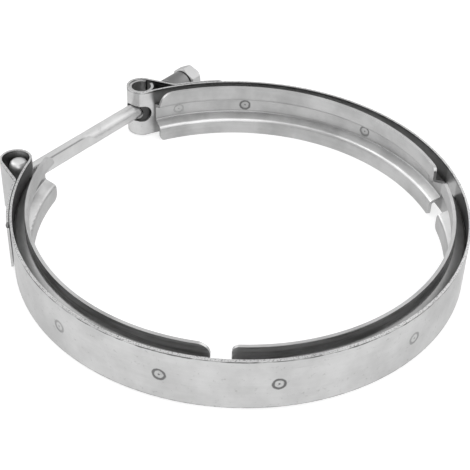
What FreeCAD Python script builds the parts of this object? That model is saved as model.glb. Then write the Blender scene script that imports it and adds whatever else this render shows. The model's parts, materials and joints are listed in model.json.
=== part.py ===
"""V band clamp for joining two flanged tubes of an engine's exhaust or air path.

A strip band is bent into an open ring, and each of its ends is folded outwards into an eye.
Three roll-formed retainers with a V section are spot welded inside the band and wedge the two
flanges together.  A T bolt is hinged in one eye by its cross head.  It passes through a rolled
trunnion tube in the other eye and carries a spacer sleeve and a lock nut.

Frame: the ring's axis is Z, the origin is the ring's centre at mid width, the opening faces +Y
and the bolt runs along +X.  All lengths are in millimetres and all angles in degrees.
"""
import FreeCAD, Part
import math
import os

from collections import namedtuple
from FreeCAD import Vector

# ---------------------------------------------------------------- band
band_outer_radius = 76.2        # 6 in ring
band_width = 19.0               # 3/4 in strip
band_thickness = 0.8
opening_half_angle = 23.45      # from the middle of the opening to the middle of each eye
tail_gap = 0.25                 # the folded tails spring off the band by this much
tail_bend_radius = 3.0          # where a tail comes down onto the band, at its middle line
tail_bend_angle = 9.6           # from the middle of the eye back to that bend
left_tail_angle = 38.0          # from the middle of the eye back to the tail's end
right_tail_angle = 23.7
tail_corner_radius = 3.0

# ---------------------------------------------------------------- slots for the bolt
slot_height = 6.7
slot_ring_reach = 2.0           # how far a slot runs past the eye's middle, along the ring
slot_wall_reach = 4.0           # how far it runs to each side of the bolt's axis

# ---------------------------------------------------------------- retainers
retainer_thickness = 1.1
retainer_depth = 5.3            # from the band's inside to the inside of the lips
retainer_width = 20.5           # over the tips of both lips
retainer_back_width = 6.4       # flat of the V, between the corners of its middle line
retainer_flank_angle = 22.0     # from the radial direction
retainer_bend_radius = 1.3      # at the middle line

# ---------------------------------------------------------------- trunnion tube
trunnion_radius = 4.7
trunnion_wall = 1.0
trunnion_length = 18.2
trunnion_seam_angle = 35.0      # open seam of the rolled tube, on the nut's side
trunnion_fit = 0.08             # radial, in its eye

# ---------------------------------------------------------------- T bolt
head_radius = 3.7
head_length = 16.0
head_rounding = 1.6
head_fit = 0.08                 # between the head and the side of the eye that it pulls on
neck_thickness = 3.4            # the forged neck is flat, thin along the ring's radius
neck_height = 5.8
neck_rounding = 0.75
neck_length = 36.0              # from the middle of the eye
neck_taper_length = 4.0
shank_radius = 3.0              # over the thread
shank_end_chamfer = 0.6
shank_end_reach = 1.5           # how far the bolt stands out of the nut

# ---------------------------------------------------------------- sleeve and nut
sleeve_radius = 4.75
sleeve_length = 9.0
sleeve_chamfer = 0.5
sleeve_fit = 0.10               # radial, on the bolt
sleeve_stand_off = 15.0         # from the middle of the right eye to the sleeve, nut slackened
nut_gap = 0.3
nut_across_flats = 10.0
nut_height = 5.2
nut_chamfer = 0.6
nut_collar_radius = 4.2
nut_collar_height = 1.3
nut_fit = 0.05                  # radial, on the bolt
hole_fit = 0.6                  # radial, of the bolt in the trunnion tube

# ---------------------------------------------------------------- spot welds
weld_radius = 2.2
weld_mark_depth = 0.12
left_tail_welds = (14.5, 25.5)  # from the middle of the eye back along the tail
right_tail_welds = (16.5,)

# A retainer runs anticlockwise from its start to its end.  Its corners are the radii of its
# upper and its lower lip's corner, and its welds are the angles where it is welded to the band.
Retainer = namedtuple("Retainer", "start end start_corners end_corners welds")
retainers = {
    "retainer_left": Retainer(107.8, 211.8, (6.0, 2.5), (4.0, 1.5), (137.5, 172.7, 200.8)),
    "retainer_front": Retainer(216.9, 314.7, (2.2, 1.5), (2.2, 1.5), (227.3, 261.6, 301.5)),
    "retainer_right": Retainer(318.8, 424.0, (2.2, 1.5), (6.0, 2.0),
                               (325.5, 356.8, 395.1, 416.3)),
}

# ---------------------------------------------------------------- worked out
ring_radius = band_outer_radius - band_thickness / 2          # middle line of the band
band_inner_radius = band_outer_radius - band_thickness
retainer_lip_radius = band_inner_radius - retainer_depth      # where the tubes pass
eye_inner_radius = trunnion_radius + trunnion_fit
eye_radius = eye_inner_radius + band_thickness / 2            # middle line of an eye
eye_distance = ring_radius + eye_radius                       # from the ring's axis
tail_radius = ring_radius + band_thickness + tail_gap         # middle line of a tail
right_eye_angle = 90.0 - opening_half_angle
left_eye_angle = 90.0 + opening_half_angle


def polar(radius, angle, centre=Vector(0, 0, 0)):
    """Point at a radius and an angle from a centre, in the plane of the ring."""
    turn = math.radians(angle)
    return centre + Vector(radius * math.cos(turn), radius * math.sin(turn), 0)


right_eye = polar(eye_distance, right_eye_angle)
left_eye = polar(eye_distance, left_eye_angle)
bolt_y = right_eye.y
head_x = left_eye.x + eye_inner_radius - head_radius - head_fit
sleeve_start = right_eye.x + sleeve_stand_off
nut_start = sleeve_start + sleeve_length + nut_gap
bolt_end = nut_start + nut_height + nut_collar_height + shank_end_reach


# ---------------------------------------------------------------- strips bent from a middle line
def arc(centre, radius, start, end):
    """A stretch of a middle line: an arc from one angle to another, either way round."""
    return ("arc", centre, radius, start, end)


def line(start, end):
    """A straight stretch of a middle line."""
    return ("line", start, end)


def side_edge(stretch, offset):
    """Edge of one face of the strip: the stretch moved to its own left by the offset."""
    if stretch[0] == "line":
        start, end = stretch[1], stretch[2]
        along = (end - start).normalize()
        left = Vector(-along.y, along.x, 0) * offset
        return Part.LineSegment(start + left, end + left)
    centre, radius, start, end = stretch[1:]
    turning = 1 if end > start else -1
    side = radius - turning * offset
    return Part.Arc(polar(side, start, centre), polar(side, (start + end) / 2, centre),
                    polar(side, end, centre))


def strip_face(path, thickness):
    """Section of a strip of even thickness whose middle line is the path."""
    left = [side_edge(stretch, thickness / 2).toShape() for stretch in path]
    right = [side_edge(stretch, -thickness / 2).toShape() for stretch in path]
    caps = [Part.makeLine(left[0].Vertexes[0].Point, right[0].Vertexes[0].Point),
            Part.makeLine(left[-1].Vertexes[-1].Point, right[-1].Vertexes[-1].Point)]
    return Part.Face(Part.Wire(Part.__sortEdges__(left + right + caps)))


def bent_path(corners, radius):
    """Middle line through the corners, with a bend of the radius at each inner one."""
    path = []
    start = corners[0]
    for before, corner, after in zip(corners, corners[1:], corners[2:]):
        into = (corner - before).normalize()
        out = (after - corner).normalize()
        turn = math.atan2(into.cross(out).z, into.dot(out))
        setback = radius * math.tan(abs(turn) / 2)
        side = math.copysign(1, turn)
        first = corner - into * setback
        centre = first + Vector(-into.y, into.x, 0) * radius * side
        entry = math.degrees(math.atan2(first.y - centre.y, first.x - centre.x))
        path.append(line(start, first))
        path.append(arc(centre, radius, entry, entry + math.degrees(turn)))
        start = corner + out * setback
    path.append(line(start, corners[-1]))
    return path


def mirrored(path):
    """The path's mirror image across the plane X = 0, run the other way."""
    result = []
    for stretch in reversed(path):
        if stretch[0] == "line":
            start, end = [Vector(-point.x, point.y, 0) for point in stretch[1:]]
            result.append(line(end, start))
        else:
            centre, radius, start, end = stretch[1:]
            result.append(arc(Vector(-centre.x, centre.y, 0), radius, 180 - end, 180 - start))
    return result


# ---------------------------------------------------------------- outer band
def eye_and_tail(tail_angle):
    """Middle line of the right end: round the eye, down to the band, and back along it."""
    bend_angle = right_eye_angle - tail_bend_angle
    bend_centre = polar(tail_radius + tail_bend_radius, bend_angle)
    between = bend_centre - right_eye
    lean = math.degrees(math.acos((eye_radius + tail_bend_radius) / between.Length))
    leave = math.degrees(math.atan2(between.y, between.x)) + lean
    return [
        arc(right_eye, eye_radius, right_eye_angle + 180, leave),
        line(polar(eye_radius, leave, right_eye),
             polar(tail_bend_radius, leave + 180, bend_centre)),
        arc(bend_centre, tail_bend_radius, leave + 180, bend_angle + 180),
        arc(Vector(0, 0, 0), tail_radius, bend_angle, right_eye_angle - tail_angle),
    ]


def along_x(radius, start, end, y):
    """Round bar along +X from one x to another, at mid width."""
    return Part.makeCylinder(radius, end - start, Vector(start, y, 0), Vector(1, 0, 0))


def wall_slot(start, end):
    """Cutter along +X for the slot in an eye's walls, round at its two ends."""
    half = slot_height / 2
    reach = slot_wall_reach - half
    block = Part.makeBox(end - start, 2 * reach, slot_height,
                         Vector(start, bolt_y - reach, -half))
    return block.fuse([along_x(half, start, end, bolt_y - reach),
                       along_x(half, start, end, bolt_y + reach)])


def ring_slot(eye_angle, outwards):
    """Cutter for the part of a slot that runs into the ring; outwards is +1 at the left eye."""
    half = slot_height / 2
    depth = eye_radius + band_thickness
    bottom = eye_distance - depth
    run = slot_ring_reach - half
    block = Part.makeBox(depth, eye_radius + run, slot_height, Vector(bottom, -run, -half))
    if outwards > 0:
        block.translate(Vector(0, run - eye_radius, 0))
    end = Part.makeCylinder(half, depth, Vector(bottom, run * outwards, 0), Vector(1, 0, 0))
    cutter = block.fuse(end)
    cutter.rotate(Vector(0, 0, 0), Vector(0, 0, 1), eye_angle)
    return cutter


def corner_cutter(angle, outwards, tip, radius, upper, bottom, depth):
    """Cutter that rounds a strip's corner where an edge at height tip meets its end.

    The strip's end is at the angle, and outwards is +1 where the strip ends anticlockwise.
    The cutter reaches from the radius bottom outwards by the depth.
    """
    margin = 1.0
    size = radius + margin
    block = Part.makeBox(depth, size, size, Vector(bottom, -radius, tip - radius))
    round_part = Part.makeCylinder(radius, depth, Vector(bottom, -radius, tip - radius),
                                   Vector(1, 0, 0))
    cutter = block.cut(round_part)
    if outwards < 0:
        cutter = cutter.mirror(Vector(0, 0, 0), Vector(0, 1, 0))
    if not upper:
        cutter = cutter.mirror(Vector(0, 0, 0), Vector(0, 0, 1))
    cutter.rotate(Vector(0, 0, 0), Vector(0, 0, 1), angle)
    return cutter


def weld_disc(angle, start, end):
    """Round disc at mid width on a radial line, from one distance from the axis to another."""
    disc = Part.makeCylinder(weld_radius, end - start, Vector(start, 0, 0), Vector(1, 0, 0))
    disc.rotate(Vector(0, 0, 0), Vector(0, 0, 1), angle)
    return disc


def weld_mark(angle, radius):
    """Cutter for the shallow mark that a spot weld leaves in a face at the radius."""
    return weld_disc(angle, radius - weld_mark_depth, radius + weld_mark_depth)


def make_band():
    """One strip: left tail, left eye, the ring, right eye and right tail."""
    path = mirrored(eye_and_tail(left_tail_angle))
    path.append(arc(Vector(0, 0, 0), ring_radius, left_eye_angle, right_eye_angle + 360))
    path.extend(eye_and_tail(right_tail_angle))
    section = strip_face(path, band_thickness)
    section.translate(Vector(0, 0, -band_width / 2))
    band = section.extrude(Vector(0, 0, band_width))
    reach = eye_radius + band_thickness
    cutters = [
        wall_slot(left_eye.x, left_eye.x + reach),
        wall_slot(right_eye.x - reach, right_eye.x + 2 * reach),
        ring_slot(left_eye_angle, 1),
        ring_slot(right_eye_angle, -1),
    ]
    for angle, outwards in ((left_eye_angle + left_tail_angle, 1),
                            (right_eye_angle - right_tail_angle, -1)):
        for upper in (True, False):
            cutters.append(corner_cutter(angle, outwards, band_width / 2, tail_corner_radius,
                                         upper, band_outer_radius + tail_gap / 2, eye_radius))
    tail_welds = [left_eye_angle + back for back in left_tail_welds]
    tail_welds += [right_eye_angle - back for back in right_tail_welds]
    tail_face = tail_radius + band_thickness / 2
    cutters.extend(weld_mark(angle, tail_face) for angle in tail_welds)
    first_bare = left_eye_angle + left_tail_angle
    last_bare = right_eye_angle - right_tail_angle + 360
    for retainer in retainers.values():
        for angle in retainer.welds:
            if first_bare < angle < last_bare:
                cutters.append(weld_mark(angle, band_outer_radius))
    nuggets = [weld_disc(angle, ring_radius, tail_radius) for angle in tail_welds]
    return band.fuse(nuggets).cut(cutters)


# ---------------------------------------------------------------- retainers
def retainer_section():
    """Section of a retainer in the plane Y = 0, with the radius along X and height along Z."""
    lip = retainer_lip_radius + retainer_thickness / 2
    back = band_inner_radius - retainer_thickness / 2
    back_corner = retainer_back_width / 2
    lip_corner = back_corner + (back - lip) * math.tan(math.radians(retainer_flank_angle))
    tip = retainer_width / 2
    corners = [Vector(lip, -tip, 0), Vector(lip, -lip_corner, 0), Vector(back, -back_corner, 0),
               Vector(back, back_corner, 0), Vector(lip, lip_corner, 0), Vector(lip, tip, 0)]
    section = strip_face(bent_path(corners, retainer_bend_radius), retainer_thickness)
    section.rotate(Vector(0, 0, 0), Vector(1, 0, 0), 90)
    return section


def make_retainer(retainer):
    """One V retainer: its section turned about the ring's axis, with its corners rounded."""
    section = retainer_section()
    section.rotate(Vector(0, 0, 0), Vector(0, 0, 1), retainer.start)
    body = section.revolve(Vector(0, 0, 0), Vector(0, 0, 1), retainer.end - retainer.start)
    depth = retainer_depth + 2 * retainer_thickness
    bottom = retainer_lip_radius - retainer_thickness
    tip = retainer_width / 2
    cutters = []
    for upper, start_radius, end_radius in zip((True, False), retainer.start_corners,
                                               retainer.end_corners):
        cutters.append(corner_cutter(retainer.start, -1, tip, start_radius, upper, bottom, depth))
        cutters.append(corner_cutter(retainer.end, 1, tip, end_radius, upper, bottom, depth))
    inner_face = band_inner_radius - retainer_thickness
    cutters.extend(weld_mark(angle, inner_face) for angle in retainer.welds)
    return body.cut(cutters)


# ---------------------------------------------------------------- trunnion tube
def make_trunnion():
    """Rolled tube with an open seam and a cross hole for the bolt."""
    base = Vector(right_eye.x, bolt_y, -trunnion_length / 2)
    up = Vector(0, 0, 1)
    tube = Part.makeCylinder(trunnion_radius, trunnion_length, base, up)
    tube = tube.cut(Part.makeCylinder(trunnion_radius - trunnion_wall, trunnion_length, base, up))
    seam = Part.makeCylinder(2 * trunnion_radius, trunnion_length, base, up, trunnion_seam_angle)
    seam.rotate(base, up, -trunnion_seam_angle / 2)
    hole = along_x(shank_radius + hole_fit, right_eye.x - 2 * trunnion_radius,
                   right_eye.x + 2 * trunnion_radius, bolt_y)
    return tube.cut([seam, hole])


# ---------------------------------------------------------------- T bolt
def neck_section(x):
    """Rounded rectangle of the flat neck at one x."""
    half_y = neck_thickness / 2
    half_z = neck_height / 2
    block = Part.makeBox(1, neck_thickness, neck_height, Vector(x, bolt_y - half_y, -half_z))
    edges = [edge for edge in block.Edges if abs(edge.tangentAt(edge.FirstParameter).x) > 0.99]
    block = block.makeFillet(neck_rounding, edges)
    return [face for face in block.Faces if abs(face.CenterOfMass.x - x) < 0.01][0].OuterWire


def make_bolt():
    """Cross head, flat forged neck and round threaded shank, as one piece."""
    head = Part.makeCylinder(head_radius, head_length, Vector(head_x, bolt_y, -head_length / 2))
    rims = [edge for edge in head.Edges if edge.Curve.TypeId == "Part::GeomCircle"]
    head = head.makeFillet(head_rounding, rims)
    neck_end = left_eye.x + neck_length
    neck = Part.Face(neck_section(head_x)).extrude(Vector(neck_end - head_x, 0, 0))
    shank_start = neck_end + neck_taper_length
    round_end = Part.Wire(Part.makeCircle(shank_radius, Vector(shank_start, bolt_y, 0),
                                          Vector(1, 0, 0)))
    taper = Part.makeLoft([neck_section(neck_end), round_end], True)
    shank = along_x(shank_radius, shank_start, bolt_end, bolt_y)
    rim = [edge for edge in shank.Edges
           if abs(edge.CenterOfMass.x - bolt_end) < 0.01 and len(edge.Vertexes) == 1]
    shank = shank.makeChamfer(shank_end_chamfer, rim)
    return head.fuse([neck, taper, shank]).removeSplitter()


# ---------------------------------------------------------------- sleeve and nut
def turned(profile, x):
    """Solid turned about the bolt's axis from (distance along, radius) points."""
    points = [Vector(x + along, bolt_y + radius, 0) for along, radius in profile]
    face = Part.Face(Part.makePolygon(points + points[:1]))
    return face.revolve(Vector(x, bolt_y, 0), Vector(1, 0, 0), 360)


def make_sleeve():
    """Plain spacer between the trunnion and the nut, chamfered at both ends."""
    bore = shank_radius + sleeve_fit
    rim = sleeve_radius - sleeve_chamfer
    return turned([(0, bore), (0, rim), (sleeve_chamfer, sleeve_radius),
                   (sleeve_length - sleeve_chamfer, sleeve_radius), (sleeve_length, rim),
                   (sleeve_length, bore)], sleeve_start)


def make_nut():
    """Hexagon lock nut with a round locking collar on its outer end."""
    bore = shank_radius + nut_fit
    flat = nut_across_flats / 2
    corner = flat / math.cos(math.radians(30))
    points = [Vector(nut_start, bolt_y + corner * math.sin(math.radians(60 * step)),
                     corner * math.cos(math.radians(60 * step))) for step in range(7)]
    prism = Part.Face(Part.makePolygon(points)).extrude(Vector(nut_height, 0, 0))
    lathe = turned([(0, bore), (0, flat - nut_chamfer / 2), (nut_chamfer, corner),
                    (nut_height - nut_chamfer, corner), (nut_height, flat - nut_chamfer / 2),
                    (nut_height, bore)], nut_start)
    collar = turned([(nut_height, bore), (nut_height, nut_collar_radius),
                     (nut_height + nut_collar_height, nut_collar_radius - nut_chamfer),
                     (nut_height + nut_collar_height, bore)], nut_start)
    return prism.common(lathe).fuse(collar).removeSplitter()


# ---------------------------------------------------------------- files
def main():
    """Make each piece and write it to its own file."""
    os.makedirs("parts", exist_ok=True)
    pieces = {"outer_band": make_band()}
    for name, retainer in retainers.items():
        pieces[name] = make_retainer(retainer)
    pieces["trunnion_tube"] = make_trunnion()
    pieces["t_bolt"] = make_bolt()
    pieces["spacer_sleeve"] = make_sleeve()
    pieces["lock_nut"] = make_nut()
    for name, shape in pieces.items():
        print(name, "valid", shape.isValid(), "solids", len(shape.Solids),
              "volume", round(shape.Volume, 1))
        shape.exportStep("parts/" + name + ".step")


main()
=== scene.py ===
"""Finished look of a v band clamp: strip band, V retainers, trunnion tube, T bolt, sleeve and nut.

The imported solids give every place.  The trunnion tube keeps its solid.  The band and the three
retainers keep their solids' form, slid a little way round the ring to where the real ones end.
The T bolt, the spacer sleeve and the lock nut are worked out anew as surfaces, with a real
thread, and the spot weld marks are small embossed faces of their own.
Sizes are in millimetres until a surface becomes a mesh.
"""

import json
import logging
import math
from dataclasses import dataclass
from enum import Enum
from functools import cache, reduce
from typing import Any

import bmesh
import bpy
import numpy as np
from mathutils import Matrix, Vector

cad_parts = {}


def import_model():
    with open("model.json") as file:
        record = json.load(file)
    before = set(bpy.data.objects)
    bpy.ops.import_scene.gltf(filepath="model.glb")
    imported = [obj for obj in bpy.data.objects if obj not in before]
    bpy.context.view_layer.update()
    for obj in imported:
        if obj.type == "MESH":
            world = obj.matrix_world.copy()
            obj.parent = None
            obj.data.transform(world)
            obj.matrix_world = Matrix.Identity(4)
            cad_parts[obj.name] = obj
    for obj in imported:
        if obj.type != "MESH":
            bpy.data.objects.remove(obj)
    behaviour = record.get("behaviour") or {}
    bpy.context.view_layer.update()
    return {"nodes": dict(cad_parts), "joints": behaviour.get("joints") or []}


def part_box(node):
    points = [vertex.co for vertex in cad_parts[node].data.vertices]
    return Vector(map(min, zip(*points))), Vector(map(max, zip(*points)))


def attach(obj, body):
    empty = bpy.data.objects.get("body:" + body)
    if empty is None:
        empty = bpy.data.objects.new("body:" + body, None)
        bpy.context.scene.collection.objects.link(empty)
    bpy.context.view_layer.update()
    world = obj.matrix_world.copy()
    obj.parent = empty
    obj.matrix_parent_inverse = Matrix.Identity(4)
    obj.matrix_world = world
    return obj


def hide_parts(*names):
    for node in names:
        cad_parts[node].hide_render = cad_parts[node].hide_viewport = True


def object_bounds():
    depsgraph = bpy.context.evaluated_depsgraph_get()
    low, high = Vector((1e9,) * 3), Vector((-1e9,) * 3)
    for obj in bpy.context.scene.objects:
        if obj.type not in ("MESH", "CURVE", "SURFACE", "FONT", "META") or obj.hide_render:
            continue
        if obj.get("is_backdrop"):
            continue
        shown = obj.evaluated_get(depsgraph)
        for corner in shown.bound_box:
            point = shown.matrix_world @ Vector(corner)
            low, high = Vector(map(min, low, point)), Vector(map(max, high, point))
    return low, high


MM = 0.001
LOG = logging.getLogger("v_band_clamp")
Array = np.ndarray
Node = bpy.types.Node
Socket = bpy.types.NodeSocket
Group = bpy.types.NodeTree
Piece = bpy.types.Object
RING_RADIUS = 0.0758  # radius in metres on which the ring is unrolled, in the strip's middle
ARC_DEGREE = math.radians(1.0) * RING_RADIUS  # length of one degree of the unrolled ring


# ---- surfaces
def grid_faces(grid: Array, first: int) -> Array:
    """Quads of a grid of places whose last column joins its first.

    Args:
        grid: The places, with the shape (rows, columns, 3).
        first: Number of the grid's first point in the mesh.

    Returns:
        Four point numbers for each quad.
    """
    rows, columns = grid.shape[:2]
    row, column = np.meshgrid(np.arange(rows - 1), np.arange(columns), indexing="ij")
    right = (column + 1) % columns
    quads = np.stack([row * columns + column, row * columns + right,
                      (row + 1) * columns + right, (row + 1) * columns + column], axis=-1)
    return first + quads.reshape(-1, 4)


def full_turn(count: int) -> Array:
    """Angles of evenly spaced columns round a full turn, in radians."""
    return np.linspace(0, 2 * np.pi, count, endpoint=False)


def about_z(radius: Any, angle: Any, height: Any) -> Array:
    """Places at a radius, an angle in radians and a height about the ring's axis."""
    radius, angle, height = np.broadcast_arrays(radius, angle, height)
    return np.stack([radius * np.cos(angle), radius * np.sin(angle), height], axis=-1)


def mesh_places(piece: Piece) -> Array:
    """Places of a piece's points in metres, with the shape (points, 3)."""
    places = np.empty(len(piece.data.vertices) * 3)
    piece.data.vertices.foreach_get("co", places)
    return places.reshape(-1, 3)


def linked(name: str, data: Any) -> Piece:
    """New object of some data, in the scene.

    Args:
        name: Name of the object.
        data: Its mesh, camera or lamp.

    Returns:
        The object.
    """
    piece = bpy.data.objects.new(name, data)
    bpy.context.scene.collection.objects.link(piece)
    return piece


def closed_piece(name: str, sheets: list[Array], crease: float = 32.0) -> Piece:
    """Mesh object made of surfaces that close on each other.

    Args:
        name: Name of the object.
        sheets: The surfaces, as grids of places in millimetres, each with its edges on
            another's or drawn to a point.
        crease: Angle in degrees past which an edge stays sharp.

    Returns:
        The object, at the origin, with its faces pointing outwards.
    """
    counts = np.cumsum([0] + [sheet[..., 0].size for sheet in sheets])
    points = np.concatenate([sheet.reshape(-1, 3) for sheet in sheets]) * MM
    faces = np.concatenate([grid_faces(sheet, first) for sheet, first in zip(sheets, counts)])
    return finished_mesh(name, points, faces, crease, True)


def finished_mesh(name: str, points: Array, faces: Array, crease: float,
                  turn_out: bool) -> Piece:
    """Mesh object with its doubles merged and its faces smooth but for sharp edges.

    Args:
        name: Name of the object.
        points: Places in metres, with the shape (points, 3).
        faces: Numbers of each face's points.
        crease: Angle in degrees past which an edge stays sharp.
        turn_out: True to work out anew which way the faces point.

    Returns:
        The object, at the origin.
    """
    mesh = bpy.data.meshes.new(name)
    mesh.from_pydata(points.tolist(), [], faces.tolist())
    shape = bmesh.new()
    shape.from_mesh(mesh)
    bmesh.ops.remove_doubles(shape, verts=shape.verts, dist=2e-7)
    bmesh.ops.dissolve_degenerate(shape, edges=shape.edges, dist=1e-7)
    if turn_out:
        bmesh.ops.recalc_face_normals(shape, faces=shape.faces)
    shape.to_mesh(mesh)
    shape.free()
    mesh.polygons.foreach_set("use_smooth", np.ones(len(mesh.polygons), dtype=bool))
    mesh.set_sharp_from_angle(angle=math.radians(crease))
    return linked(name, mesh)


def turned(along: Array, radius: Array, turns: Array, centre_y: float = 0.0) -> Array:
    """Places of a surface turned about a line along X.

    The place at a distance x along the line, with the radius r and the angle a, is
    (x, centre + r sin a, r cos a).

    Args:
        along: Distance along X for each row, or for each place.
        radius: Radius for each row, or for each place.
        turns: Angle of each column, in radians.
        centre_y: Y of the line.

    Returns:
        An array of shape (rows, columns, 3).
    """
    along = along if along.ndim == 2 else along[:, None]
    radius = radius if radius.ndim == 2 else radius[:, None]
    x, r, a = np.broadcast_arrays(along, radius, turns[None, :])
    return np.stack([x, centre_y + r * np.sin(a), r * np.cos(a)], axis=-1)


def thread_depth(along: Array, turns: Array, pitch: float, depth: float) -> Array:
    """How far a right-hand thread is cut in at each place.

    The phase is the distance along over the pitch less the turn over a full turn.  The depth
    follows a triangle wave of that phase, flat up to the crest's share and again past the
    flank's.

    Args:
        along: Distance along the axis.
        turns: Angle about the axis, in radians.
        pitch: Distance from one crest to the next.
        depth: Depth of the groove.

    Returns:
        The depth at each place, from 0 at a crest to the full depth in a root.
    """
    crest, flank = 0.14, 0.68
    phase = np.mod(along / pitch - turns / (2 * np.pi), 1.0)
    wave = np.abs(2 * phase - 1)
    return depth * np.clip((wave - crest) / flank, 0, 1)


# ---- shader parts
class Nodes:
    """A node tree with short calls to add and join its nodes."""

    def __init__(self, tree: Group) -> None:
        """Keeps the tree that the nodes go into."""
        self.tree = tree

    def add(self, kind: str, inputs: dict[Any, Any] | None = None, **settings: Any) -> Node:
        """Adds a node.

        Args:
            kind: Blender's type name of the node.
            inputs: Values or sockets for its inputs, by name or number.
            settings: Properties of the node.

        Returns:
            The node.
        """
        node = self.tree.nodes.new(kind)
        for name, value in settings.items():
            setattr(node, name, value)
        for name, value in (inputs or {}).items():
            if isinstance(value, Socket):
                self.tree.links.new(value, node.inputs[name])
            else:
                node.inputs[name].default_value = value
        return node

    def join(self, node: Node, **sockets: Socket) -> None:
        """Joins sockets to the node's inputs of those names, with _ for a space."""
        for name, socket in sockets.items():
            self.tree.links.new(socket, node.inputs[name.replace("_", " ")])

    def math(self, operation: str, *values: Any) -> Socket:
        """Result of an operation on numbers or sockets."""
        return self.add("ShaderNodeMath", dict(enumerate(values)),
                        operation=operation).outputs[0]

    def product(self, *values: Any) -> Socket:
        """Product of masks or numbers."""
        return reduce(lambda one, other: self.math("MULTIPLY", one, other), values)

    def highest(self, *values: Any) -> Socket:
        """Highest of masks or numbers."""
        return reduce(lambda one, other: self.math("MAXIMUM", one, other), values)

    def gap(self, value: Any, middle: Any) -> Socket:
        """How far a value is from a middle, to either side."""
        return self.math("ABSOLUTE", self.math("SUBTRACT", value, middle))

    def vector(self, operation: str, *values: Any) -> Socket:
        """Vector result of an operation on vectors."""
        return self.add("ShaderNodeVectorMath", dict(enumerate(values)),
                        operation=operation).outputs[0]

    def number(self, operation: str, *vectors: Any) -> Socket:
        """Number that comes of an operation on vectors."""
        return self.add("ShaderNodeVectorMath", dict(enumerate(vectors)),
                        operation=operation).outputs["Value"]

    def parts(self, vector: Socket) -> Any:
        """The three parts of a vector."""
        return self.add("ShaderNodeSeparateXYZ", {0: vector}).outputs

    def geometry(self, output: str) -> Socket:
        """One output of the Geometry node."""
        return self.add("ShaderNodeNewGeometry").outputs[output]

    def group(self, tree: Group, **inputs: Any) -> Any:
        """Outputs of a node group that is given these inputs."""
        return self.add("ShaderNodeGroup", inputs, node_tree=tree).outputs

    def grey(self, tone: Socket) -> Socket:
        """Grey colour of a tone."""
        return self.add("ShaderNodeCombineColor", {0: tone, 1: tone, 2: tone}).outputs[0]

    def ramp(self, value: Socket, low: float, high: float, start: float, end: float) -> Socket:
        """Value carried smoothly from one range to another, and held there.

        Args:
            value: What is carried over.
            low: Where the change starts.
            high: Where it ends.
            start: Result up to low.
            end: Result from high on.

        Returns:
            The output socket.
        """
        node = self.add("ShaderNodeMapRange",
                        {"Value": value, "From Min": low, "From Max": high, "To Min": start,
                         "To Max": end}, interpolation_type="SMOOTHSTEP")
        return node.outputs["Result"]

    def line(self, value: Socket, start: float, end: float) -> Socket:
        """Value carried straight from 0 and 1 to a start and an end."""
        return self.math("MULTIPLY_ADD", value, end - start, start)

    def noise(self, vector: Socket, scale: Any, detail: float, rough: float = 0.5,
              distortion: float = 0.0) -> Socket:
        """Noise from 0 to 1.

        Args:
            vector: Where it is read, in metres.
            scale: Lumps in a metre, as a number or a socket.
            detail: Octaves.
            rough: How strong the small octaves are.
            distortion: How far the noise is bent.

        Returns:
            The output socket.
        """
        node = self.add("ShaderNodeTexNoise", {
            "Vector": vector, "Scale": scale, "Detail": detail, "Roughness": rough,
            "Distortion": distortion})
        return node.outputs["Fac"]


def new_group(name: str, inputs: dict[str, float | None],
              outputs: tuple[str, ...]) -> tuple[Nodes, Any, Node]:
    """Empty shader node group with its sockets.

    Args:
        name: Name of the group.
        inputs: Default value of each input by name, or None for a vector.
        outputs: Names of the outputs, which are numbers but for Unrolled.

    Returns:
        The group's nodes, the sockets of its inputs and its output node.
    """
    tree = bpy.data.node_groups.new(name, "ShaderNodeTree")
    for label, value in inputs.items():
        kind = "NodeSocketVector" if value is None else "NodeSocketFloat"
        socket = tree.interface.new_socket(name=label, in_out="INPUT", socket_type=kind)
        if value is not None:
            socket.default_value = value
    for label in outputs:
        kind = "NodeSocketVector" if label == "Unrolled" else "NodeSocketFloat"
        tree.interface.new_socket(name=label, in_out="OUTPUT", socket_type=kind)
    given, made = tree.nodes.new("NodeGroupInput"), tree.nodes.new("NodeGroupOutput")
    return Nodes(tree), given.outputs, made


@cache
def ring_places_group() -> Group:
    """Group that unrolls the ring: arc length, height and distance out from the ring's radius.

    The arc length is the angle from -Y, whose seam lies in the ring's opening, times the
    ring's radius.

    Returns:
        The node group.
    """
    nodes, given, made = new_group("ring_places", {"Position": None, "Radius": RING_RADIUS},
                                   ("Unrolled", "Arc", "Height"))
    x, y, z = nodes.parts(given["Position"])
    angle = nodes.math("ARCTAN2", x, nodes.math("MULTIPLY", y, -1.0))
    arc = nodes.math("MULTIPLY", angle, given["Radius"])
    flat = nodes.add("ShaderNodeCombineXYZ", {0: x, 1: y, 2: 0.0}).outputs[0]
    out = nodes.math("SUBTRACT", nodes.number("LENGTH", flat), given["Radius"])
    unrolled = nodes.add("ShaderNodeCombineXYZ", {0: arc, 1: z, 2: out}).outputs[0]
    nodes.join(made, Unrolled=unrolled, Arc=arc, Height=z)
    return nodes.tree


@cache
def steel_grain_group() -> Group:
    """Group for the grain of worked steel: fine lines along one way, soft clouds and scratches.

    The lines are noise squeezed across the way of working, the clouds are wide noise, and the
    scratches are the peaks of a longer, sparser noise.

    Returns:
        The node group.
    """
    nodes, given, made = new_group(
        "steel_grain", {"Vector": None, "Squeeze": None, "Fineness": 900.0, "Cloud": 60.0},
        ("Lines", "Clouds", "Scratches"))
    squeezed = nodes.vector("MULTIPLY", given["Vector"], given["Squeeze"])
    sparse = nodes.noise(squeezed, nodes.math("MULTIPLY", given["Fineness"], 0.35), 2.0, 0.4, 0.4)
    nodes.join(made, Lines=nodes.noise(squeezed, given["Fineness"], 5.0, 0.65),
               Clouds=nodes.noise(given["Vector"], given["Cloud"], 4.0, 0.6),
               Scratches=nodes.ramp(sparse, 0.68, 0.76, 0.0, 1.0))
    return nodes.tree


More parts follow.
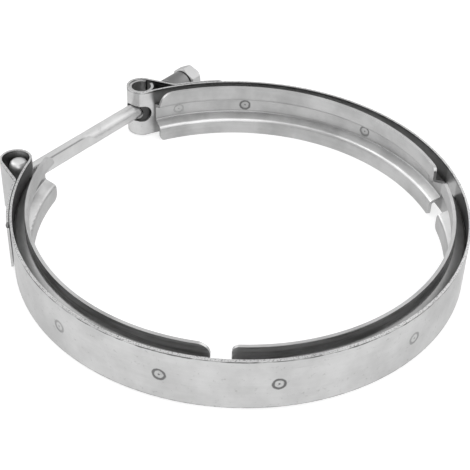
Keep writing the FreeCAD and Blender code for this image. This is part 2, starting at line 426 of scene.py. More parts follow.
@cache
def edge_band_group() -> Group:
    """Group that marks a ragged band of wear along an edge.

    The mask is 1 at the edge and falls to 0 over the width, and noise along the edge moves the
    place where it ends.

    Returns:
        The node group.
    """
    nodes, given, made = new_group(
        "edge_band", {"Distance": 0.0, "Width": 0.001, "Vector": None, "Ragged": 300.0},
        ("Mask",))
    wave = nodes.noise(given["Vector"], given["Ragged"], 3.0)
    reach = nodes.math("MULTIPLY", given["Width"], nodes.ramp(wave, 0.3, 0.7, 0.2, 1.6))
    share = nodes.math("DIVIDE", given["Distance"], reach)
    nodes.join(made, Mask=nodes.ramp(share, 0.4, 1.0, 1.0, 0.0))
    return nodes.tree


class Grain(Enum):
    """Which way the steel was worked, as the squeeze of its grain."""

    ROLLED = (0.03, 1.0, 1.0)
    TURNED = (1.0, 0.05, 0.05)
    TUMBLED = (1.0, 1.0, 1.0)


def new_material(name: str) -> tuple[bpy.types.Material, Node]:
    """A material with nodes, and its Principled shader."""
    material = bpy.data.materials.new(name)
    material.use_nodes = True
    return material, material.node_tree.nodes["Principled BSDF"]


@dataclass(frozen=True)
class Steel:
    """Finish of one steel piece.

    Attributes:
        slot: The record's material slot.
        tone: Brightness of clean metal, from 0 to 1.
        roughness: Roughness of clean metal.
        grain: The way of working.
        fineness: Grain lines in a metre.
        contrast: How far grain and clouds darken the metal.
        bump: Height of the grain in metres.
        shade: Brightness under the dark mask, as a share of the tone: painted shade and real
            marks.
        painted_light_tone: Brightness where light is painted on, as highlight or reflection.
        rim: Share of the light that it still throws back at a low angle.
    """

    slot: str
    tone: float
    roughness: float
    grain: Grain
    fineness: float = 900.0
    contrast: float = 0.12
    bump: float = 4e-6
    shade: float = 0.3
    painted_light_tone: float = 0.8
    rim: float = 0.75


class Skin(Nodes):
    """Material of one steel piece, while its nodes are being joined."""

    def __init__(self, steel: Steel, unroll: bool = False) -> None:
        """Starts the material: places on the piece, grain, and a shader with its constants.

        Args:
            steel: The finish.
            unroll: True to lay the grain along the ring, which also gives arc and height.
        """
        self.steel = steel
        self.material, self.shader = new_material(steel.slot)
        super().__init__(self.material.node_tree)
        self.shader.inputs["Metallic"].default_value = 1.0
        self.shader.inputs["Specular Tint"].default_value = (*(steel.rim,) * 3, 1.0)
        self.place = self.where = self.add("ShaderNodeTexCoord").outputs["Object"]
        if unroll:
            ring = self.group(ring_places_group(), Position=self.place)
            self.where, self.arc, self.height = ring["Unrolled"], ring["Arc"], ring["Height"]
        self.grain = self.group(steel_grain_group(), Vector=self.where,
                                Squeeze=steel.grain.value, Fineness=steel.fineness)

    def facing_out(self) -> Socket:
        """How far a face looks away from the ring's axis: 1 outwards and -1 inwards.

        It is the true normal's product with the direction out from the axis.

        Returns:
            The output socket.
        """
        flat = self.vector("MULTIPLY", self.place, (1.0, 1.0, 0.0))
        return self.number("DOT_PRODUCT", self.geometry("True Normal"),
                           self.vector("NORMALIZE", flat))

    def edge_wear(self, distance: Socket, width: float, ragged: float) -> Socket:
        """Mask of ragged wear about a line on the surface.

        Args:
            distance: Distance from the line in metres.
            width: How far the wear reaches, in millimetres.
            ragged: Lumps in a metre.

        Returns:
            The mask, from 0 to 1.
        """
        return self.group(edge_band_group(), Distance=distance, Vector=self.where,
                          Width=width * MM, Ragged=ragged)["Mask"]

    def finish(self, dark: Socket | None = None,
               bright: Socket | None = None) -> bpy.types.Material:
        """Joins tone, roughness and bump to the shader.

        Args:
            dark: Mask of darkened metal, from 0 to 1.
            bright: Mask of painted highlight and reflection, from 0 to 1.

        Returns:
            The material.
        """
        steel, lines, scratches = self.steel, self.grain["Lines"], self.grain["Scratches"]
        tone = self.product(
            self.ramp(self.grain["Clouds"], 0.3, 0.7, steel.tone * (1 - steel.contrast),
                      steel.tone),
            self.ramp(lines, 0.25, 0.75, 1 - steel.contrast / 3, 1.0),
            self.ramp(scratches, 0.0, 1.0, 1.0, 1 - steel.contrast))
        # painted light: the tone is raised to a set brightness under the bright mask
        if bright is not None:
            tone = self.highest(tone, self.product(bright, steel.painted_light_tone))
        # painted shade and real marks alike darken the tone under the dark mask
        if dark is not None:
            tone = self.product(tone, self.line(dark, 1.0, steel.shade))
        relief = self.math("SUBTRACT", lines, self.product(scratches, 0.6))
        bump = self.add("ShaderNodeBump", {"Height": relief, "Distance": steel.bump,
                                           "Strength": 1.0})
        rough = self.ramp(lines, 0.2, 0.8, steel.roughness * 0.85, steel.roughness * 1.15)
        self.join(self.shader, Base_Color=self.grey(tone), Roughness=rough,
                  Normal=bump.outputs["Normal"])
        return self.material


BAND_STEEL = Steel("band_steel", 0.62, 0.32, Grain.ROLLED, 1400.0, 0.18, 3e-6, 0.22)
RETAINER_STEEL = Steel("retainer_steel", 0.53, 0.36, Grain.ROLLED, 1200.0, 0.26, 3e-6, 0.5, 1.0)
TRUNNION_STEEL = Steel("trunnion_steel", 0.5, 0.36, Grain.TUMBLED, 700.0, 0.18, 6e-6, 0.14)
BOLT_STEEL = Steel("bolt_steel", 0.68, 0.42, Grain.TUMBLED, 800.0, 0.16, 8e-6, 0.3)
SLEEVE_STEEL = Steel("sleeve_steel", 0.20, 0.36, Grain.TURNED, 1500.0, 0.2, 5e-6, 0.4)
NUT_STEEL = Steel("nut_steel", 0.47, 0.36, Grain.TUMBLED, 900.0, 0.12, 4e-6, 0.4)
WELD_STEEL = Steel("band_steel", 0.62, 0.34, Grain.TUMBLED, 1800.0, 0.2, 6e-6, 0.16)


# ---- ring
@dataclass(frozen=True)
class Slide:
    """A slide of places round the ring, by an angle that changes from place to place.

    Attributes:
        places: Angles about the ring's axis in degrees, rising from the opening.
        shifts: How far a piece is slid there, in degrees.
        between: Only what lies between these two radii is slid, in millimetres.
    """

    places: tuple[float, ...]
    shifts: tuple[float, ...]
    between: tuple[float, float]

    def moved(self, points: Array) -> Array:
        """Turns each point about the ring's axis by the shift at its angle.

        Between two places the shift goes straight from one to the other.

        Args:
            points: Places in metres, with the shape (points, 3).

        Returns:
            The slid places.
        """
        x, y = points[:, 0], points[:, 1]
        radius = np.hypot(x, y)
        angle = np.mod(np.degrees(np.arctan2(y, x)) - 90.0, 360.0) + 90.0
        low, high = self.between
        slid = (radius > low * MM) & (radius < high * MM)
        shift = np.interp(angle, self.places, self.shifts)
        turn = np.radians(angle + np.where(slid, shift, 0.0))
        return about_z(radius, turn, points[:, 2])


ROUND_THE_RING = Slide(
    (107.8, 172.7, 211.8, 216.9, 261.6, 301.5, 314.7, 318.8, 325.5, 356.8, 395.1, 416.3, 424.0),
    (0.0, 0.0, -0.5, -0.6, 0.3, 2.2, 3.7, 5.7, 5.5, 2.2, 1.9, 0.8, 0.3), (0.0, 76.25))
LEFT_TAIL = Slide((125.5, 149.0, 153.0, 160.0), (0.0, -10.5, -10.5, 0.0), (76.3, 90.0))


def slid_copy(node: Piece, name: str, *slides: Slide) -> Piece:
    """Copy of a CAD node with its doubles merged and its places slid round the ring.

    Args:
        node: The CAD node.
        name: Name of the copy.
        slides: The slides in order.

    Returns:
        The new object.
    """
    points = reduce(lambda places, slide: slide.moved(places), slides, mesh_places(node))
    corners = np.empty(len(node.data.loops), dtype=int)
    node.data.loops.foreach_get("vertex_index", corners)
    return finished_mesh(name, points, corners.reshape(-1, 3), 30.0, False)


@dataclass
class RingBand:
    """The strip band with its folded eyes, dressed as rolled stainless strip.

    Attributes:
        half_width: Half of the strip's width.
        bare: Angles from -Y, in degrees, of the middles of the two gaps between retainers.
        bare_half: Half of a gap's angle.
        bare_fade: Angle over which the painted shade comes back to full beside a gap.
        covered: Angles from -Y of the first and the last retainer's end.
        root: Height of the corner in which a lip's back meets the strip.
        dark_line_drop: How far below the upper edge the dark line is painted.
        dark_line_width: How wide the dark line is.
        edge_width: How far the wear of both edges reaches in.
        foot_width: How far the rubbed line along the lower edge reaches in.
    """

    half_width: float = 9.5
    bare: tuple[float, float] = (-56.1, 51.5)
    bare_half: float = 2.6
    bare_fade: float = 1.2
    covered: tuple[float, float] = (-162.2, 154.3)
    root: float = 3.2
    dark_line_drop: float = 0.5
    dark_line_width: float = 0.26
    edge_width: float = 0.35
    foot_width: float = 0.3

    def dress(self, piece: Piece) -> None:
        """Gives the band its steel: grain, worn edges, a dark line and painted shade behind the
        lips.

        Args:
            piece: The band's object.
        """
        skin = Skin(BAND_STEEL, True)
        half, high = self.half_width * MM, skin.math("ABSOLUTE", skin.height)
        upper = skin.math("SUBTRACT", half, skin.height)
        worn = skin.edge_wear(skin.math("SUBTRACT", half, high), self.edge_width, 420.0)
        # a ragged dark line painted just below the upper edge
        dark_line = skin.edge_wear(skin.gap(upper, self.dark_line_drop * MM), self.dark_line_width, 260.0)
        foot = skin.edge_wear(skin.math("ADD", skin.height, half), self.foot_width, 300.0)
        patchy = skin.ramp(skin.noise(skin.where, 55.0, 3.0), 0.36, 0.5, 0.35, 1.0)
        speckle = skin.ramp(skin.noise(skin.place, 1900.0, 2.0), 0.53, 0.62, 0.0, 1.0)
        pits = skin.ramp(skin.noise(skin.where, 700.0, 4.0, 0.7), 0.6, 0.7, 0.0, 0.3)
        # painted shade on the strip's inside behind the lips, a little deeper towards its edges
        trough_shade = skin.product(self.behind(skin), skin.ramp(high, self.root * MM, half, 0.5, 0.57))
        replace_material(piece, skin.finish(skin.highest(
            trough_shade, skin.product(dark_line, patchy), skin.product(foot, 0.5),
            skin.product(worn, speckle, 0.7), pits)))

    def behind(self, skin: Skin) -> Socket:
        """Mask of the painted shade on the strip's inside, where a retainer lies before it.

        Args:
            skin: The band's material.

        Returns:
            The mask, from 0 to 1.
        """
        arc, fade = skin.arc, 1.5 * MM
        first, last = (angle * ARC_DEGREE for angle in self.covered)
        near, far = self.bare_half * ARC_DEGREE, (self.bare_half + self.bare_fade) * ARC_DEGREE
        gaps = [skin.ramp(skin.gap(arc, middle * ARC_DEGREE), near, far, 0.25, 1.0)
                for middle in self.bare]
        return skin.product(skin.ramp(skin.facing_out(), -0.6, -0.2, 1.0, 0.0), *gaps,
                            skin.ramp(arc, first - fade, first, 0.0, 1.0),
                            skin.ramp(arc, last, last + fade, 1.0, 0.0))


@dataclass
class Retainers:
    """The three V retainers, dressed as roll-formed stainless with painted light and shade.

    Attributes:
        bend: Height of the bends between the flat back and the flanks.
        crease: Half widths of the shade painted about a bend, where it is full and where it ends.
        end_shade_span: Angles from -Y in degrees over which the left end's painted shade fades.
    """

    bend: float = 3.0
    crease: tuple[float, float] = (0.2, 1.0)
    end_shade_span: tuple[float, float] = (-145.0, -115.0)

    def dress(self, pieces: list[Piece]) -> None:
        """Gives the three retainers their steel.

        The flanks' inner sides get patchy painted reflection and the lips' backs streaked painted
        light; the flanks' backs, a band about each bend and the left end get painted shade.

        Args:
            pieces: The retainers' objects.
        """
        skin = Skin(RETAINER_STEEL, True)
        facing = skin.facing_out()
        along = skin.vector("MULTIPLY", skin.where, (0.08, 1.0, 1.0))
        streaks = skin.ramp(skin.noise(along, 700.0, 3.0), 0.35, 0.65, 0.6, 1.0)
        # painted light: the outward faces are brightened in streaks
        back = skin.product(skin.ramp(facing, 0.6, 0.9, 0.0, 1.0), streaks)
        # painted shade on the flanks' outward sides
        flank_back_shade = skin.product(skin.ramp(facing, 0.1, 0.3, 0.0, 1.0),
                             skin.ramp(facing, 0.6, 0.85, 0.8, 0.0))
        # painted reflection: the flanks' inward sides are brightened in patches
        upright = skin.math("ABSOLUTE", skin.parts(skin.geometry("True Normal"))[2])
        flank = skin.product(skin.ramp(upright, 0.3, 0.8, 0.0, 1.0),
                             skin.ramp(facing, -0.2, 0.0, 1.0, 0.0))
        patchy = skin.ramp(skin.noise(skin.where, 90.0, 4.0), 0.35, 0.65, 0.52, 0.68)
        full, end = (width * MM for width in self.crease)
        # painted shade in a band about each bend, on faces turned towards the ring's axis
        from_bend = skin.gap(skin.math("ABSOLUTE", skin.height), self.bend * MM)
        crease = skin.product(skin.ramp(from_bend, full, end, 0.8, 0.0),
                              skin.ramp(facing, -0.55, -0.4, 1.0, 0.0))
        # painted shade on the left retainer's flanks near its end, full at the first angle and
        # gone by the second
        shade_full_at, clean = (angle * ARC_DEGREE for angle in self.end_shade_span)
        end_shade = skin.product(flank, skin.ramp(skin.arc, shade_full_at, clean, 0.65, 0.0))
        material = skin.finish(skin.highest(crease, end_shade, flank_back_shade),
                               skin.highest(back, skin.product(flank, patchy)))
        for piece in pieces:
            replace_material(piece, material)


def replace_material(piece: Piece, material: bpy.types.Material) -> None:
    """Puts a material into every slot of a piece.

    Args:
        piece: The object.
        material: Its new material.
    """
    if not piece.data.materials:
        piece.data.materials.append(material)
    for slot in piece.material_slots:
        slot.material = material


def join_up(piece: Piece, steel: Steel, body: str, *stands_for: str) -> None:
    """Lets a new piece ride on its body and hides the solid that it stands for.

    Args:
        piece: The new object.
        steel: Its finish; not used.
        body: Name of the moving body.
        stands_for: Names of the CAD nodes that it replaces.
    """
    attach(piece, body)
    if stands_for:
        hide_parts(*stands_for)
    LOG.info("%s: %d faces, rides on %s", piece.name, len(piece.data.polygons), body)


def tube_steel(box: tuple[Any, Any], wall: float = 1.0) -> bpy.types.Material:
    """Material of the trunnion tube: painted shade on the outer wall, its rims left at the plain
    tone.

    Args:
        box: The tube's lowest and highest corner in metres.
        wall: Thickness of its wall, in millimetres.

    Returns:
        The material.
    """
    skin = Skin(TRUNNION_STEEL)
    low, high = Vector(box[0]), Vector(box[1])
    radius, half, rim = (high.y - low.y) / 2, (high.z - low.z) / 2, (0.15 * MM, 0.02 * MM)
    away = skin.vector("SUBTRACT", skin.place, tuple((low + high) / 2))
    distance = skin.number("LENGTH", skin.vector("MULTIPLY", away, (1.0, 1.0, 0.0)))
    outer = skin.ramp(distance, radius - wall * 0.6 * MM, radius - wall * 0.3 * MM, 0.0, 1.0)
    height = skin.math("ABSOLUTE", skin.parts(away)[2])
    below = skin.ramp(height, half - rim[0], half - rim[1], 1.0, 0.0)
    # painted shade on the tube's outer wall, which sits in the band's eye, all but the rims
    return skin.finish(skin.product(outer, below))


def forged_steel(neck_end: float, fade: float = 4.0) -> bpy.types.Material:
    """Material of the bolt, with dark lines painted along the rounded corners of its neck.

    Args:
        neck_end: Where the neck ends along X, in millimetres.
        fade: Length over which the lines die out before it.

    Returns:
        The material.
    """
    skin = Skin(BOLT_STEEL)
    normal = skin.parts(skin.geometry("Normal"))
    slant = skin.math("ABSOLUTE", skin.product(normal[1], normal[2]))
    neck = skin.ramp(skin.parts(skin.place)[0], (neck_end - fade) * MM, neck_end * MM, 1.0, 0.0)
    return skin.finish(skin.product(skin.ramp(slant, 0.28, 0.46, 0.0, 0.8), neck))


# ---- bolt, sleeve and nut
@dataclass
class TeeBolt:
    """The T bolt: cross head, flat forged neck, round shank and thread.

    Attributes:
        head: Middle of the cross head, as (x, y).
        end: Where the bolt ends along X.
        head_radius: Radius of the cross head.
        head_length: Its length along Z.
        neck_half: Half of the neck's thickness and of its height.
        neck_end: Where the neck starts to turn round, from the head.
        taper: Length over which it turns round.
        shank_radius: Radius over the thread.
        thread_length: Length of the thread.
        pitch: Pitch of the thread.
        point: Length of the cone at its end.
        point_drop: How much the cone takes off the radius.
    """

    head: tuple[float, float]
    end: float
    head_radius: float = 3.7
    head_length: float = 16.0
    neck_half: tuple[float, float] = (1.7, 2.9)
    neck_end: float = 32.5
    taper: float = 2.5
    shank_radius: float = 3.0
    thread_length: float = 34.0
    pitch: float = 1.0
    point: float = 0.9
    point_drop: float = 0.75

    def head_sheet(self) -> Array:
        """The cross head, turned about its own axis along Z with domed ends.

        At a share t of the half length the radius is the head's radius times the n-th root of
        1 - t to the power n, which stays full and then rounds over.  Three low waves round the
        head, which die out at its ends, are the forging's.

        Returns:
            The closed surface.
        """
        power, waviness = 4.5, 0.006
        share = np.sin(np.linspace(-np.pi / 2, np.pi / 2, 61))
        radius = self.head_radius * (1 - np.abs(share) ** power) ** (1 / power)
        turns = full_turn(64)
        wave = 1 + waviness * np.sin(3 * turns)[None, :] * (1 - share[:, None] ** 2)
        places = about_z(radius[:, None] * wave, turns, share[:, None] * self.head_length / 2)
        return places + np.array([*self.head, 0.0])

    def shank_sheet(self) -> Array:
        """Neck, shank and thread as one surface carried along X.

        Each section is a superellipse, the sum of |y/a|^n and |z/b|^n being 1.  Its half sizes
        a and b and its power n go smoothly from the neck's to the shank's, and the thread's
        depth is taken off the radius.

        Returns:
            The closed surface.
        """
        start, length = self.head[0], self.end - self.head[0]
        plain_end = length - self.thread_length
        rows_a_pitch, flat_power, round_power, depth, run_in = 14, 8.0, 2.0, 0.58, 1.5
        screw_rows = int(round(self.thread_length / self.pitch * rows_a_pitch))
        s = np.concatenate([np.linspace(0, self.neck_end + self.taper, 70),
                            np.linspace(self.neck_end + self.taper, plain_end, 12)[1:],
                            np.linspace(plain_end, length, screw_rows)[1:]])
        turns = full_turn(72)
        blend = np.clip((s - self.neck_end) / self.taper, 0, 1)
        blend = blend * blend * (3 - 2 * blend)
        half_y, half_z = (half + (self.shank_radius - half) * blend for half in self.neck_half)
        n = (flat_power + (round_power - flat_power) * blend)[:, None]
        grid, angle = np.meshgrid(s, turns, indexing="ij")
        radius = (np.abs(np.sin(angle) / half_y[:, None]) ** n
                  + np.abs(np.cos(angle) / half_z[:, None]) ** n) ** (-1 / n)
        cut = thread_depth(grid, angle, self.pitch, depth * self.pitch)
        cut *= np.clip((grid - plain_end) / (run_in * self.pitch), 0, 1)
        drop = self.point_drop * np.clip((grid - (length - self.point)) / self.point, 0, 1)
        radius = np.minimum(radius - cut, self.shank_radius - drop)
        tip = np.zeros((1, turns.size))
        along = start + np.concatenate([s[:1], s, s[-1:]])
        return turned(along, np.vstack([tip, radius, tip]), turns, self.head[1])

    def build(self) -> Piece:
        """The whole bolt as one piece."""
        return closed_piece("forged_t_bolt", [self.head_sheet(), self.shank_sheet()], 40.0)


@dataclass
class Turned:
    """A piece turned about the bolt's axis.

    Attributes:
        start: Where it starts along X.
        centre_y: Y of its axis.
    """

    start: float
    centre_y: float

    def sheet(self, along: Array, radius: Array, turns: Array) -> Array:
        """Surface of distances from the start, radii and angles, as turned takes them."""
        return turned(self.start + along, radius, turns, self.centre_y)


@dataclass
class SpacerSleeve(Turned):
    """The plain spacer between the trunnion tube and the nut.

    Attributes:
        bore: Radius of its bore.
        radius: Its outer radius.
        length: Its length.
        rounding: Radius of its rims.
    """

    bore: float = 3.1
    radius: float = 4.75
    length: float = 9.0
    rounding: float = 0.45

    def build(self) -> Piece:
        """Section of the wall, a rectangle with round corners, turned about the bolt's axis.

        Each corner is a quarter circle about a centre that lies the rounding in from both
        sides.

        Returns:
            The piece.
        """
        quarter, r = np.linspace(0, np.pi / 2, 6), self.rounding
        low, high = (r, self.bore + r), (self.length - r, self.radius - r)
        corners = (high, (low[0], high[1]), low, (high[0], low[1]))
        arcs = [np.stack([x + r * np.cos(quarter + turn * np.pi / 2),
                          y + r * np.sin(quarter + turn * np.pi / 2)])
                for turn, (x, y) in enumerate(corners)]
        along, radius = np.hstack([*arcs, arcs[0][:, :1]])
        return closed_piece("turned_spacer_sleeve", [self.sheet(along, radius, full_turn(72))])


@dataclass
class LockNut(Turned):
    """The hexagon lock nut with its round collar and its threaded bore.

    Attributes:
        bore: Radius of its bore over the thread's roots.
        across_flats: Width over the flats.
        height: Height of the hexagon.
        collar_radius: Radius of the locking collar.
        collar_height: How far the collar stands out.
        collar_rounding: How far the collar's rim is rounded in.
        chamfer: How far the corners are turned off.
        chamfer_angle: Angle of the turned cones to the axis, in degrees.
        face_inset: How far inside the flats the cones start.
        pitch: Pitch of the thread.
        columns: Faces round the nut.
    """

    bore: float = 3.05
    across_flats: float = 10.0
    height: float = 5.2
    collar_radius: float = 4.2
    collar_height: float = 1.3
    collar_rounding: float = 0.7
    chamfer: float = 0.6
    chamfer_angle: float = 32.0
    face_inset: float = 0.12
    pitch: float = 1.0
    columns: int = 180

    def outside_sheet(self) -> Array:
        """Hexagon and collar from the inner rim to the outer one.

        The hexagon's radius at an angle a is half the width over the flats over the cosine of
        a folded to the nearest flat.  It is held under the two cones that the chamfers turn.

        Returns:
            The surface, open at the bore.
        """
        turns = full_turn(self.columns)
        flat = self.across_flats / 2
        hexagon = flat / np.cos(np.mod(turns, np.pi / 3) - np.pi / 6)
        rim = self.chamfer * 1.6  # length of the finer rows at both ends
        along = np.concatenate([np.linspace(0, rim, 8),
                                np.linspace(rim, self.height - rim, 10)[1:],
                                np.linspace(self.height - rim, self.height, 8)[1:]])
        from_face = np.minimum(along, self.height - along)
        cone = flat - self.face_inset + from_face / math.tan(math.radians(self.chamfer_angle))
        bulge = np.linspace(0, np.pi / 2, 7)
        dome_x = self.height + self.collar_height * np.sin(bulge)
        dome_r = self.collar_radius - self.collar_rounding * (1 - np.cos(bulge))
        ring = np.ones(turns.size)
        mouth = [self.bore * ring]
        rows = mouth + list(np.minimum(hexagon, cone[:, None])) + [r * ring for r in dome_r]
        x = np.concatenate([along[:1], along, dome_x, dome_x[-1:]])
        return self.sheet(x, np.array(rows + mouth), turns)

    def bore_sheet(self) -> Array:
        """The bore, with thread ridges that die out at both mouths.

        Returns:
            The surface, open at both rims.
        """
        turns, total = full_turn(self.columns), self.height + self.collar_height
        ridge_height, fade_length = 0.02, 0.8
        along = np.linspace(0, total, 40)
        grid, angle = np.meshgrid(along, turns, indexing="ij")
        fade = np.clip(np.minimum(grid, total - grid) / fade_length, 0, 1)
        ridge = ridge_height * thread_depth(grid, angle, self.pitch, 1.0) * fade
        return self.sheet(along, self.bore - ridge, turns)

    def build(self) -> Piece:
        """The whole nut as one piece."""
        return closed_piece("hexagon_lock_nut", [self.outside_sheet(), self.bore_sheet()], 25.0)


# ---- spot welds
@dataclass
class SpotWelds:
    """The round marks that the welding electrodes left.

    Attributes:
        angles: Angle of each mark's solid about the ring's axis, in degrees.
        burns: How dark each mark is burnt, from 0 to 1.
        face_radius: Radius of the face that carries them.
        outwards: 1 on an outer face and -1 on an inner one.
        sink: How deep the solid's own round mark is.
        mark_radius: Radius of a mark.
    """

    angles: tuple[float, ...]
    burns: tuple[float, ...]
    face_radius: float
    outwards: int = 1
    sink: float = 0.12
    mark_radius: float = 2.4

    def sheets(self) -> list[Array]:
        """One thin closed lens for each mark.

        A point of a mark has a share q of its radius and an angle.  Its relief is a low rim
        at q = 0.86, a pressed ring inside it and a small dimple in the middle, each a bell
        curve of q, and the lens follows the curve of the carrying face.

        Returns:
            The surfaces.
        """
        lift, press, rim, skirt = 0.01, 0.09, 0.005, -0.01
        share, turns = np.linspace(0, 1, 26), full_turn(40)
        relief = (lift - press * (bell(share, 0.66, 0.12) + bell(share, 0.0, 0.12))
                  + rim * bell(share, 0.86, 0.06))
        relief = np.where(share > 0.98, skirt, relief)
        under = np.full(share.size, -self.sink - 0.02)
        return [np.concatenate([self.places(angle, share, turns, relief),
                                self.places(angle, share[::-1], turns, under)])
                for angle in np.radians(self.true_angles())]

    def true_angles(self) -> Array:
        """Angles of the marks once the pieces that carry them are slid round the ring."""
        angles = np.array(self.angles)
        return angles + np.interp(angles, ROUND_THE_RING.places, ROUND_THE_RING.shifts)

    def places(self, angle: float, share: Array, turns: Array, relief: Array) -> Array:
        """Places of one side of a mark.

        Args:
            angle: Angle of the mark about the ring's axis, in radians.
            share: Share of the mark's radius for each row.
            turns: Angle of each column about the mark's middle.
            relief: Height over the carrying face for each row.

        Returns:
            An array of shape (rows, columns, 3).
        """
        across = self.mark_radius * share[:, None] * np.sin(turns)
        round_by = self.mark_radius * share[:, None] * np.cos(turns) / self.face_radius
        radius = self.face_radius + self.outwards * relief[:, None]
        return about_z(radius, angle + round_by, across)


@dataclass
class WeldMarks:
    """All the spot weld marks as one piece, each burnt a little differently.

    Attributes:
        outer: The marks on the band's outside.
        inner: The marks on the backs of the retainers, inside.
        bead: Radius, angle and height of the bead of spatter at the left tail's corner.
        bead_radius: Its radius.
        bead_burn: How dark it is burnt, from 0 to 1.
    """

    outer: SpotWelds
    inner: SpotWelds
    bead: tuple[float, float, float] = (76.75, 139.9, 8.35)
    bead_radius: float = 1.1
    bead_burn: float = 0.8

    def bead_sheet(self) -> Array:
        """The bead of spatter, a ball whose radius swells and shrinks a little with the angle.

        Returns:
            The closed surface.
        """
        swell, thin, wide = 0.12, 0.6, 1.2
        rise, turns = np.linspace(-np.pi / 2, np.pi / 2, 17)[:, None], full_turn(24)[None, :]
        size = self.bead_radius * (1 + swell * np.sin(2 * turns + 1) * np.cos(rise))
        radius, angle, height = self.bead
        out, side = size * np.cos(rise) * np.cos(turns), size * np.cos(rise) * np.sin(turns)
        x, y = radius + out * thin, side * wide
        return about_z(np.hypot(x, y), np.arctan2(y, x) + np.radians(angle),
                       height + size * np.sin(rise))

    def build(self) -> Piece:
        """Makes the piece and writes how far out and how burnt each of its points is.

        The share of a point is its distance from the nearest mark's middle over the mark's
        radius.

        Returns:
            The piece, with the attributes share and burn.
        """
        piece = closed_piece("spot_weld_marks", self.outer.sheets() + self.inner.sheets()
                             + [self.bead_sheet()])
        angles = np.radians(np.concatenate([self.outer.true_angles(), self.inner.true_angles()]))
        radii = np.repeat([self.outer.face_radius, self.inner.face_radius],
                          [len(self.outer.angles), len(self.inner.angles)])
        middles = about_z(radii, angles, 0.0)
        away = np.linalg.norm(mesh_places(piece)[:, None] / MM - middles[None], axis=-1)
        burns = np.array(self.outer.burns + self.inner.burns)[away.argmin(axis=1)]
        share = away.min(axis=1) / self.outer.mark_radius
        stray = share > 1.5
        for name, values in (("share", np.where(stray, 0.0, share)),
                             ("burn", np.where(stray, self.bead_burn, burns))):
            attribute = piece.data.attributes.new(name, "FLOAT", "POINT")
            attribute.data.foreach_set("value", values.astype(np.float32))
        return piece

    def steel(self) -> bpy.types.Material:
        """Steel with a burnt ring and a burnt dot, spattered by noise.

        Returns:
            The material.
        """
        skin = Skin(WELD_STEEL, True)
        share, burn = (skin.add("ShaderNodeAttribute", attribute_name=name).outputs["Fac"]
                       for name in ("share", "burn"))
        wander = skin.line(skin.noise(skin.where, 900.0, 3.0), -0.12, 0.12)
        reach = skin.math("ADD", share, wander)
        ring = skin.product(skin.ramp(reach, 0.5, 0.66, 0.0, 1.0),
                            skin.ramp(reach, 0.84, 1.02, 1.0, 0.0))
        dot = skin.ramp(share, 0.09, 0.2, 1.0, 0.0)
        spatter = skin.ramp(skin.noise(skin.where, 2600.0, 2.0), 0.6, 0.68, 0.0, 0.5)
        inside = skin.ramp(skin.facing_out(), -0.5, 0.0, 0.4, 0.0)
        return skin.finish(skin.product(skin.highest(ring, dot, spatter, inside), burn))


def bell(value: Array, middle: float, width: float) -> Array:
    """Bell curve of height 1: the exponential of minus the squared distance over the width."""
    return np.exp(-((value - middle) / width) ** 2)


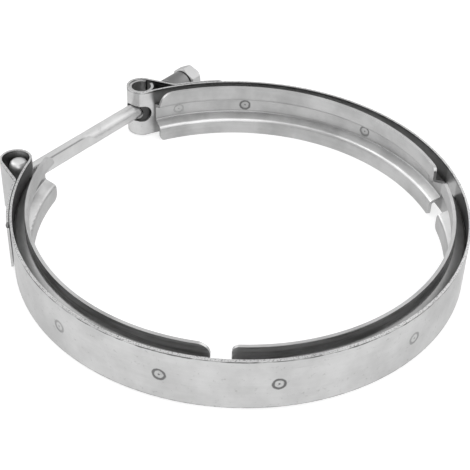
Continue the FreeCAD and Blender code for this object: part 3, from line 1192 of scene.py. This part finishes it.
# ---- studio
@dataclass
class Studio:
    """Pale floor, soft lamps and the camera.

    Attributes:
        floor_height: Height of the floor in metres.
        azimuth: The camera's direction about Z in degrees, from +X.
        elevation: Its height angle in degrees.
        distance: Its distance in metres.
        lens: Focal length in millimetres on a 36 mm sensor.
        shift: The frame's shift across and up, in frame widths.
        roll: Its roll in degrees.
        floor_half: Half of the floor's width in metres.
    """

    floor_height: float
    azimuth: float = -142.81
    elevation: float = 37.89
    distance: float = 0.3856
    lens: float = 87.17
    shift: tuple[float, float] = (-0.0112, -0.0284)
    roll: float = 2.01
    floor_half: float = 3.0

    def place_camera(self) -> None:
        """Makes the camera and sets it as the scene's own."""
        flat, up = math.radians(self.azimuth), math.radians(self.elevation)
        place = Vector((math.cos(up) * math.cos(flat), math.cos(up) * math.sin(flat),
                        math.sin(up))) * self.distance
        data = bpy.data.cameras.new("camera")
        data.lens = self.lens
        data.sensor_width = 36.0
        data.shift_x, data.shift_y = self.shift
        data.clip_start = 0.01
        camera = linked("camera", data)
        turn = (-place).to_track_quat("-Z", "Y").to_matrix().to_4x4()
        camera.matrix_world = (Matrix.Translation(place) @ turn
                               @ Matrix.Rotation(math.radians(self.roll), 4, "Z"))
        bpy.context.scene.camera = camera

    def lay_floor(self) -> None:
        """Lays a wide pale floor that takes the clamp's shadow and shows white to the eye."""
        half, z = self.floor_half, self.floor_height
        mesh = bpy.data.meshes.new("floor")
        corners = [(-half, -half, z), (half, -half, z), (half, half, z), (-half, half, z)]
        mesh.from_pydata(corners, [], [(0, 1, 2, 3)])
        floor = linked("floor", mesh)
        material, shader = new_material("pale_floor")
        nodes = Nodes(material.node_tree)
        for name, value in (("Roughness", 1.0), ("Specular IOR Level", 0.0),
                            ("Emission Color", (1.0, 1.0, 1.0, 1.0))):
            shader.inputs[name].default_value = value
        place = nodes.add("ShaderNodeTexCoord").outputs["Object"]
        paper = nodes.ramp(nodes.noise(place, 40.0, 3.0), 0.3, 0.7, 0.44, 0.46)
        nodes.join(shader, Base_Color=nodes.grey(paper),
                   Emission_Strength=nodes.product(seen_directly(nodes), 0.74))
        replace_material(floor, material)
        floor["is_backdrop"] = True

    def light(self) -> None:
        """Hangs the soft lamps and sets the sky."""
        world = bpy.data.worlds.new("studio_sky")
        bpy.context.scene.world = world
        world.use_nodes = True
        nodes = Nodes(world.node_tree)
        background = world.node_tree.nodes["Background"]
        background.inputs["Color"].default_value = (1.0, 1.0, 1.0, 1.0)
        nodes.join(background, Strength=nodes.ramp(seen_directly(nodes), 0.0, 1.0, 0.55, 1.0))
        for name, place, size, power in (
                ("key_lamp", (-0.5, -0.9, 0.9), 1.4, 7.6),
                ("side_lamp", (1.1, -0.2, 0.5), 1.1, 3.6),
                ("back_lamp", (-0.2, 1.0, 0.8), 1.1, 4.4)):
            data = bpy.data.lights.new(name, "AREA")
            data.size, data.energy = size, power
            lamp = linked(name, data)
            lamp.location = place
            lamp.rotation_euler = (-Vector(place)).to_track_quat("-Z", "Y").to_euler()


def seen_directly(nodes: Nodes) -> Socket:
    """1 for what the eye, a reflection or a clear piece sees, and 0 for light on the object."""
    path = nodes.add("ShaderNodeLightPath").outputs
    return nodes.highest(*(path[f"Is {ray} Ray"] for ray in ("Camera", "Glossy", "Transmission")))


# ---- the whole clamp
def node_end(name: str, which: int) -> float:
    """Lowest (0) or highest (1) place of a CAD node along X, in millimetres."""
    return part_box(name)[which][0] / MM


def main() -> None:
    """Loads the solids, dresses them, adds the new pieces and sets up the studio."""
    logging.basicConfig(level=logging.INFO, format="%(message)s")
    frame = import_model()
    joints = {joint["name"]: joint for joint in frame["joints"]}
    cad = frame["nodes"]

    band = slid_copy(cad["outer_band"], "strip_band", ROUND_THE_RING, LEFT_TAIL)
    RingBand().dress(band)
    join_up(band, BAND_STEEL, "ring", "outer_band")
    backs = []
    for side in ("left", "front", "right"):
        node = f"retainer_{side}"
        backs.append(slid_copy(cad[node], f"v_retainer_{side}", ROUND_THE_RING))
        join_up(backs[-1], RETAINER_STEEL, "ring", node)
    Retainers().dress(backs)
    replace_material(cad["trunnion_tube"], tube_steel(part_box("trunnion_tube")))

    head = [value / MM for value in joints["bolt_swing"]["pos_m"][:2]]
    bolt = TeeBolt((head[0], head[1]), node_end("t_bolt", 1)).build()
    sleeve = SpacerSleeve(node_end("spacer_sleeve", 0), head[1]).build()
    nut = LockNut(node_end("lock_nut", 0), head[1]).build()
    for piece, material, steel, body, node in (
            (bolt, forged_steel(head[0] + TeeBolt.neck_end), BOLT_STEEL, "bolt", "t_bolt"),
            (sleeve, Skin(SLEEVE_STEEL).finish(), SLEEVE_STEEL, "sleeve", "spacer_sleeve"),
            (nut, Skin(NUT_STEEL).finish(), NUT_STEEL, "nut", "lock_nut")):
        replace_material(piece, material)
        join_up(piece, steel, body, node)

    on_both = (172.7, 200.8, 227.3, 261.6, 301.5, 325.5, 356.8)
    marks = WeldMarks(SpotWelds(on_both, (0.45, 0.8, 0.85, 0.5, 0.6, 0.8, 0.6), 76.2),
                      SpotWelds((137.5, *on_both, 395.1, 416.3),
                                (0.3, 0.5, 0.6, 0.5, 0.5, 0.6, 0.5, 0.75, 0.85, 0.4), 74.3, -1))
    welds = marks.build()
    replace_material(welds, marks.steel())
    join_up(welds, WELD_STEEL, "ring")

    studio = Studio(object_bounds()[0][2])
    studio.lay_floor()
    studio.light()
    studio.place_camera()
    bpy.context.scene.view_settings.view_transform = "Standard"


if __name__ == "__main__":
    main()
